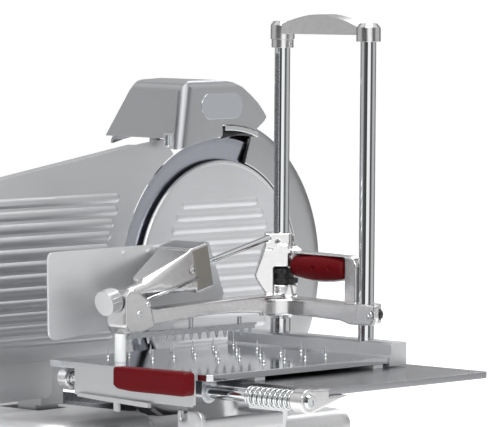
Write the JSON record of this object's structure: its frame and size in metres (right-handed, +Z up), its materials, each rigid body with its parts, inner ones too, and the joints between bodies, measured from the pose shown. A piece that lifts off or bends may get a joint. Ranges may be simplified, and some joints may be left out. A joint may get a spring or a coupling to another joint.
{
  "type": "deli meat slicer",
  "caption": "Vertical-blade deli meat slicer with ribbed gauge plate, sharpener hood, sliding product carriage, spiked feed tray, twin-column product press, pusher plate and red hand grips.",
  "frame": {"origin": "centre of the bounding box's bottom, on the counter under the rubber feet", "axes": "+X along the carriage travel, from the gauge plate towards the blade; +Y from the product side through the blade to the slice side; +Z up"},
  "size_m": [0.693, 0.7565, 0.675],
  "materials": {
    "cast_alu": "satin cast",
    "satin_alu": "satin anodised, fine brushed grain",
    "mirror_alu": "polished",
    "sheet_steel": "brushed",
    "blade_steel": "polished, blue-grey",
    "chrome": "polished",
    "rubber": "matte",
    "belt_rubber": "matte ribbed",
    "motor_paint": "satin paint",
    "black_plastic": "moulded",
    "green_plastic": "gloss",
    "red_plastic": "gloss",
    "plum_plastic": "moulded, soft gloss",
    "nylon": "moulded",
    "stone_red": "fine grit",
    "stone_pale": "fine grit"
  },
  "bodies": {
    "machine": {"base_casting": "cast_alu", "base_floor_pan": "sheet_steel", "rubber_feet": "rubber", "machine_screws": "chrome", "rail_brackets": "cast_alu", "carriage_rails": "chrome", "blade_head": "cast_alu", "ring_guard": "satin_alu", "blade_cover": "satin_alu", "blade_bearings": "chrome", "belt_guard": "cast_alu", "drive_belt": "belt_rubber", "motor_housing": "motor_paint", "gauge_guide_rod": "chrome", "switch_plate": "sheet_steel", "receiving_tray": "sheet_steel", "power_cable": "black_plastic"},
    "blade_rotor": {"blade": "blade_steel", "blade_spindle": "chrome", "blade_pulley": "cast_alu"},
    "motor_rotor": {"motor_pulley": "sheet_steel"},
    "gauge": {"gauge_plate": "satin_alu", "gauge_bracket": "cast_alu"},
    "dial": {"thickness_knob": "black_plastic", "scroll_cam": "sheet_steel"},
    "sharpener": {"sharpener_hood": "satin_alu", "sharpener_frame": "cast_alu", "hood_latch": "chrome"},
    "grinding_wheel": {"grinding_stone": "stone_red"},
    "honing_wheel": {"honing_stone": "stone_pale"},
    "deflector": {"slice_deflector": "sheet_steel"},
    "start": {"start_button": "green_plastic"},
    "stop": {"stop_button": "red_plastic"},
    "cover_tie": {"cover_tie_rod": "black_plastic"},
    "carriage": {"carriage_arm": "cast_alu", "lower_plate": "mirror_alu", "rod_lugs": "satin_alu", "feed_rod": "chrome", "feed_spring": "chrome", "glide_strips": "nylon"},
    "tray": {"tray_plate": "mirror_alu", "tray_spikes": "chrome", "tray_end_wall": "satin_alu", "tray_apron": "satin_alu", "apron_handle": "plum_plastic", "tray_bushings": "sheet_steel", "press_columns": "chrome", "column_foot_sleeve": "chrome", "column_bridge": "satin_alu", "stop_collar": "satin_alu"},
    "press": {"press_casting": "satin_alu", "press_grip": "plum_plastic", "grip_strip": "sheet_steel", "press_foot": "nylon", "pusher_rod": "chrome"},
    "lock_wheel": {"press_lock_wheel": "black_plastic"},
    "clamp_knob": {"column_knob": "black_plastic"},
    "pusher": {"pusher_body": "satin_alu", "pusher_plate": "satin_alu"},
    "pusher_clamp": {"pusher_knob": "satin_alu"}
  },
  "joints": [
    {"name": "blade_spin", "type": "hinge", "parent": "machine", "child": "blade_rotor", "pos_m": [0.1395, 0.09575, 0.33], "axis": [0, 1, 0], "continuous": true},
    {"name": "motor_spin", "type": "hinge", "parent": "machine", "child": "motor_rotor", "pos_m": [0.1545, 0.19575, 0.094], "axis": [0, 1, 0], "continuous": true},
    {"name": "gauge_slide", "type": "slide", "parent": "machine", "child": "gauge", "axis": [0, 1, 0], "range_m": [0, 0.015]},
    {"name": "thickness_dial", "type": "hinge", "parent": "machine", "child": "dial", "pos_m": [-0.3205, 0.12575, 0.094], "axis": [1, 0, 0], "range_deg": [0, 300]},
    {"name": "carriage_slide", "type": "slide", "parent": "machine", "child": "carriage", "axis": [1, 0, 0], "range_m": [-0.19, 0.235]},
    {"name": "tray_feed", "type": "slide", "parent": "carriage", "child": "tray", "axis": [0, 1, 0], "range_m": [-0.06, 0.035]},
    {"name": "press_slide", "type": "slide", "parent": "tray", "child": "press", "axis": [0, 0, 1], "range_m": [0, 0.225]},
    {"name": "pusher_swing", "type": "hinge", "parent": "press", "child": "pusher", "pos_m": [-0.0385, -0.05425, 0.3635], "axis": [0.9757, 0, 0.219], "range_deg": [0, 100]},
    {"name": "pusher_clamp_turn", "type": "hinge", "parent": "press", "child": "pusher_clamp", "pos_m": [-0.0385, -0.05425, 0.3635], "axis": [0.9757, 0, 0.219], "range_deg": [-90, 90]},
    {"name": "press_lock_turn", "type": "hinge", "parent": "press", "child": "lock_wheel", "pos_m": [0.1015, -0.05125, 0.34], "axis": [0, 0, 1], "range_deg": [-90, 90]},
    {"name": "column_clamp_turn", "type": "hinge", "parent": "press", "child": "clamp_knob", "pos_m": [0.1015, -0.21775, 0.2995], "axis": [1, 0, 0], "range_deg": [-90, 90]},
    {"name": "sharpener_lift", "type": "slide", "parent": "machine", "child": "sharpener", "axis": [0, 0, 1], "range_m": [0, 0.03]},
    {"name": "grinding_spin", "type": "hinge", "parent": "sharpener", "child": "grinding_wheel", "pos_m": [0.1395, 0.14575, 0.533], "axis": [0, 1, 0], "continuous": true},
    {"name": "honing_spin", "type": "hinge", "parent": "sharpener", "child": "honing_wheel", "pos_m": [0.1645, 0.07575, 0.53], "axis": [0, 1, 0], "continuous": true},
    {"name": "deflector_swing", "type": "hinge", "parent": "machine", "child": "deflector", "pos_m": [0.1345, 0.12325, 0.33], "axis": [0, 0, -1], "range_deg": [0, 35]},
    {"name": "start_press", "type": "slide", "parent": "machine", "child": "start", "axis": [1, 0, 0], "range_m": [0, 0.0035], "stiffness_N_per_m": 400},
    {"name": "stop_press", "type": "slide", "parent": "machine", "child": "stop", "axis": [1, 0, 0], "range_m": [0, 0.0035], "stiffness_N_per_m": 400},
    {"name": "cover_knob_turn", "type": "hinge", "parent": "machine", "child": "cover_tie", "pos_m": [0.1395, 0.25575, 0.33], "axis": [0, 1, 0], "range_deg": [-180, 180]}
  ],
  "couplings": [
    {"joint": "motor_spin", "follows": "blade_spin", "ratio": 1.7647},
    {"joint": "thickness_dial", "follows": "gauge_slide", "rad_per_m": 349.06}
  ]
}
